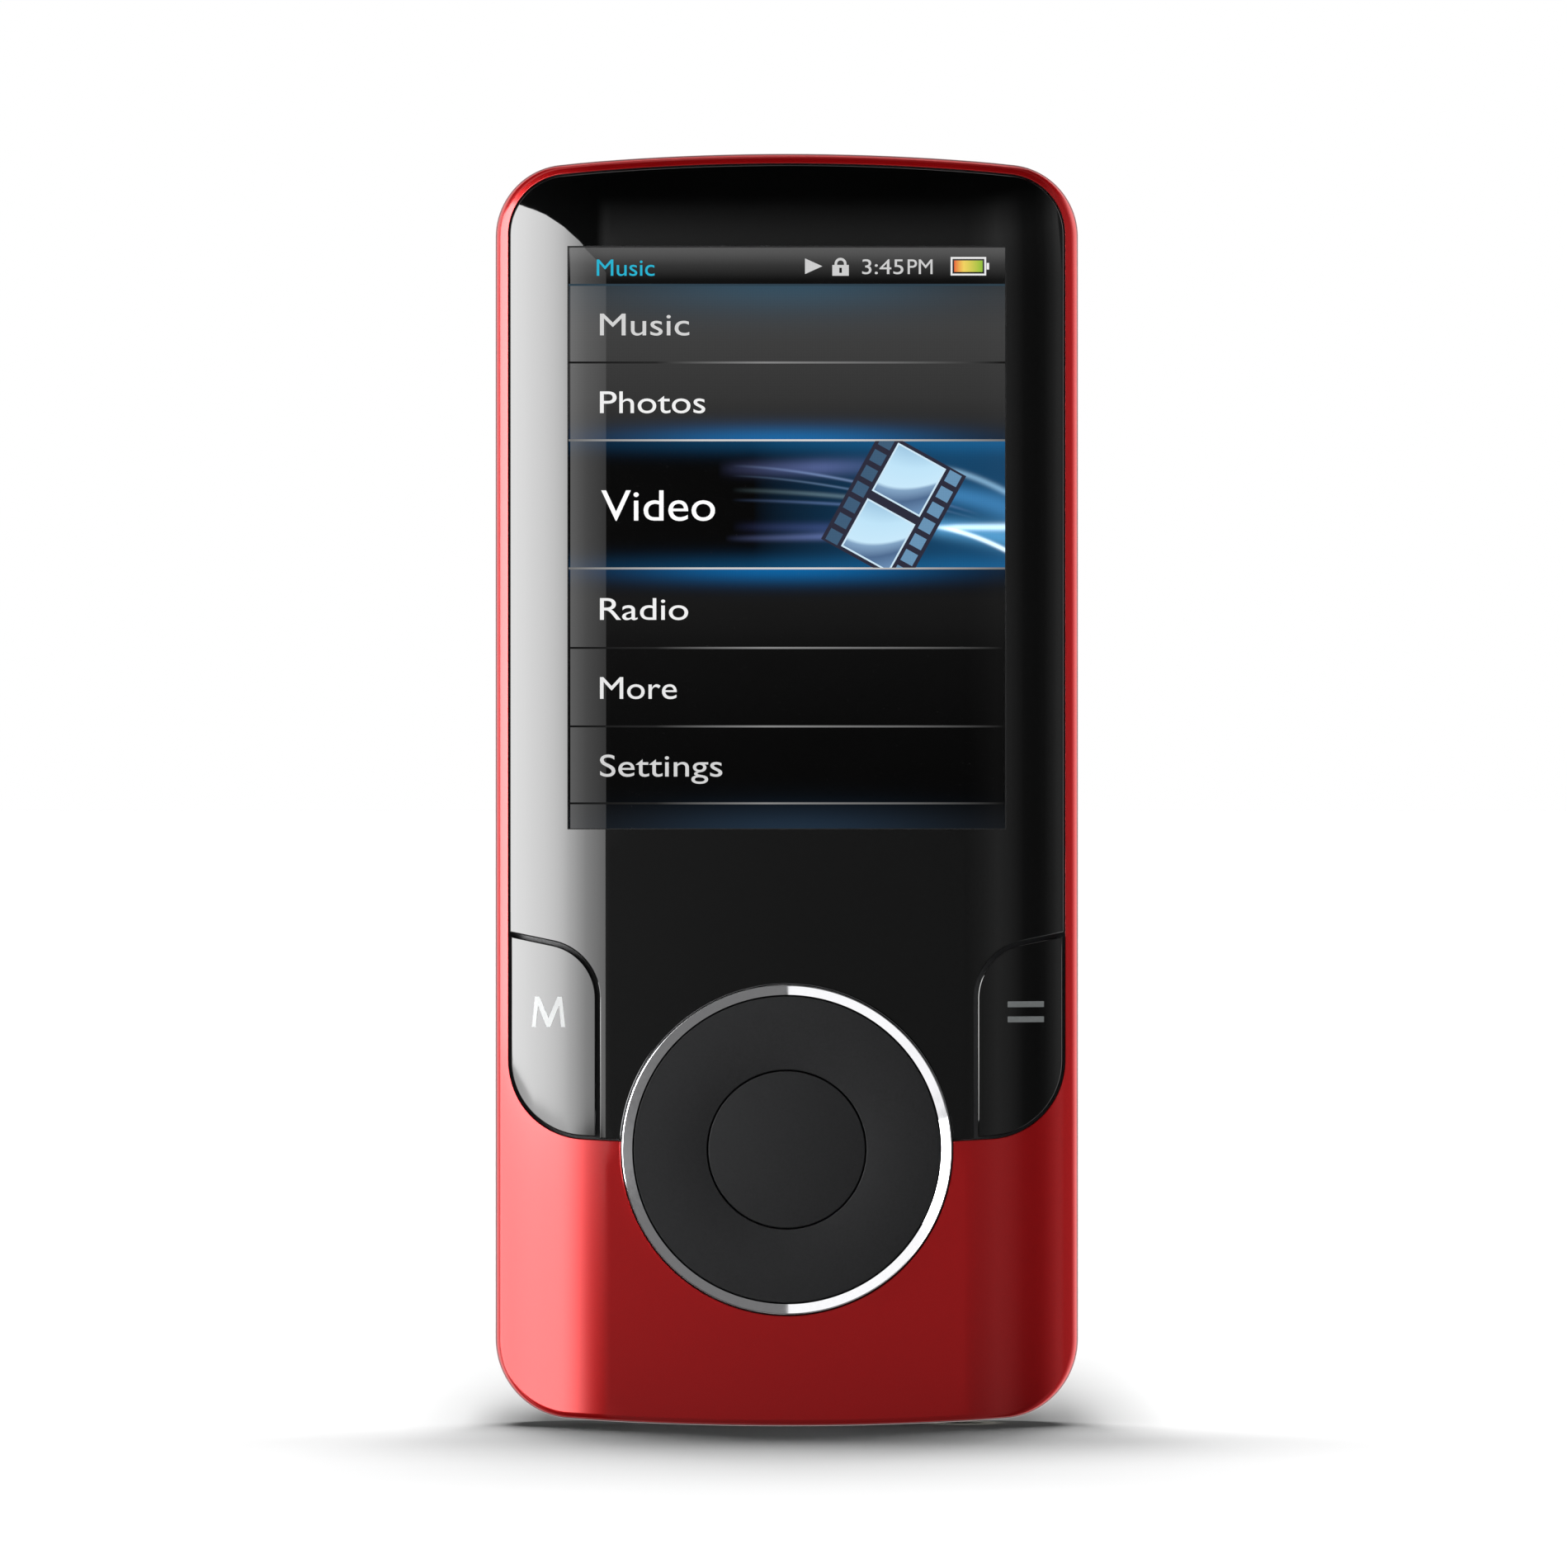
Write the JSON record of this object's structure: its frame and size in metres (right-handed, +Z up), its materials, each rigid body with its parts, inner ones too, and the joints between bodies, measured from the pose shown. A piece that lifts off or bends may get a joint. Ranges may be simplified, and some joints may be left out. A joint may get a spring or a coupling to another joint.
{
  "type": "digital audio player",
  "caption": "Slim pocket audio player with a tall colour screen, a round tilting control pad in a chrome ring, corner keys and a lacquered shell.",
  "frame": {"origin": "under the middle of the bottom end, midway between the front ring and the rear face", "axes": "+X to the player's right seen from the front, +Y from front to back, +Z up its length"},
  "size_m": [0.041, 0.0102, 0.0893],
  "materials": {
    "red_lacquer": "deep red gloss lacquer",
    "gloss_black": "polished black acrylic",
    "matte_black": "fine-grained matte",
    "chrome": "mirror polish",
    "steel": "satin sheet",
    "dark_steel": "blackened",
    "nickel": "plated",
    "display_glass": "lit colour display",
    "white_plastic": "diffusing",
    "black_plastic": "moulded",
    "polyimide": "amber film",
    "solder_mask": "green solder mask",
    "chip_epoxy": "moulded epoxy",
    "foam": "closed-cell foam",
    "adhesive": "film tape",
    "silicone": "translucent grey",
    "battery_foil": "embossed pouch foil",
    "red_wire": "insulation",
    "black_wire": "insulation",
    "key_print": "screen print"
  },
  "bodies": {
    "player": {"front_housing": "red_lacquer", "rear_cover": "red_lacquer", "screen_window": "gloss_black", "window_adhesive": "adhesive", "pad_trim_ring": "chrome", "lcd_gasket": "foam", "lcd_glass": "display_glass", "lcd_backlight": "white_plastic", "lcd_tray": "steel", "lcd_flex_cable": "polyimide", "lcd_connector": "black_plastic", "main_board": "solder_mask", "dome_switch_centre": "nickel", "dome_switch_left_key": "nickel", "dome_switch_right_key": "nickel", "dome_switch_right": "nickel", "dome_switch_up": "nickel", "dome_switch_left": "nickel", "dome_switch_down": "nickel", "processor_chip": "chip_epoxy", "flash_memory_chip": "chip_epoxy", "power_chip": "chip_epoxy", "radio_chip": "chip_epoxy", "inductor": "chip_epoxy", "clock_crystal": "nickel", "battery": "battery_foil", "battery_tape": "white_plastic", "battery_lead_positive": "red_wire", "battery_lead_negative": "black_wire", "usb_shell": "steel", "usb_tongue": "black_plastic", "headphone_jack": "black_plastic", "hold_switch_case": "steel", "case_screw_1": "dark_steel", "case_screw_2": "dark_steel", "board_screw_1": "steel", "board_screw_2": "steel", "board_screw_3": "steel"},
    "left_key": {"left_menu_key": "gloss_black"},
    "right_key": {"right_back_key": "gloss_black"},
    "pad_rocker": {"pad_cushion": "silicone"},
    "pad": {"control_pad": "matte_black"},
    "select_button": {"centre_button": "matte_black"},
    "hold_switch": {"hold_slider": "matte_black", "hold_switch_stem": "black_plastic"}
  },
  "joints": [
    {"name": "left_key_press", "type": "slide", "parent": "player", "child": "left_key", "axis": [0, 1, 0], "range_m": [0, 0.0003], "stiffness_N_per_m": 4000},
    {"name": "right_key_press", "type": "slide", "parent": "player", "child": "right_key", "axis": [0, 1, 0], "range_m": [0, 0.0003], "stiffness_N_per_m": 4000},
    {"name": "centre_press", "type": "slide", "parent": "player", "child": "select_button", "axis": [0, 1, 0], "range_m": [0, 0.00025], "stiffness_N_per_m": 4000},
    {"name": "pad_tilt_up_down", "type": "hinge", "parent": "player", "child": "pad_rocker", "pos_m": [0, -0.0029, 0.0194], "axis": [1, 0, 0], "range_deg": [-1.2, 1.2], "stiffness_Nm_per_rad": 0.6},
    {"name": "pad_tilt_left_right", "type": "hinge", "parent": "pad_rocker", "child": "pad", "pos_m": [0, -0.0029, 0.0194], "axis": [0, 0, 1], "range_deg": [-1.2, 1.2], "stiffness_Nm_per_rad": 0.6},
    {"name": "hold_slide", "type": "slide", "parent": "player", "child": "hold_switch", "axis": [1, 0, 0], "range_m": [0, 0.003]}
  ]
}
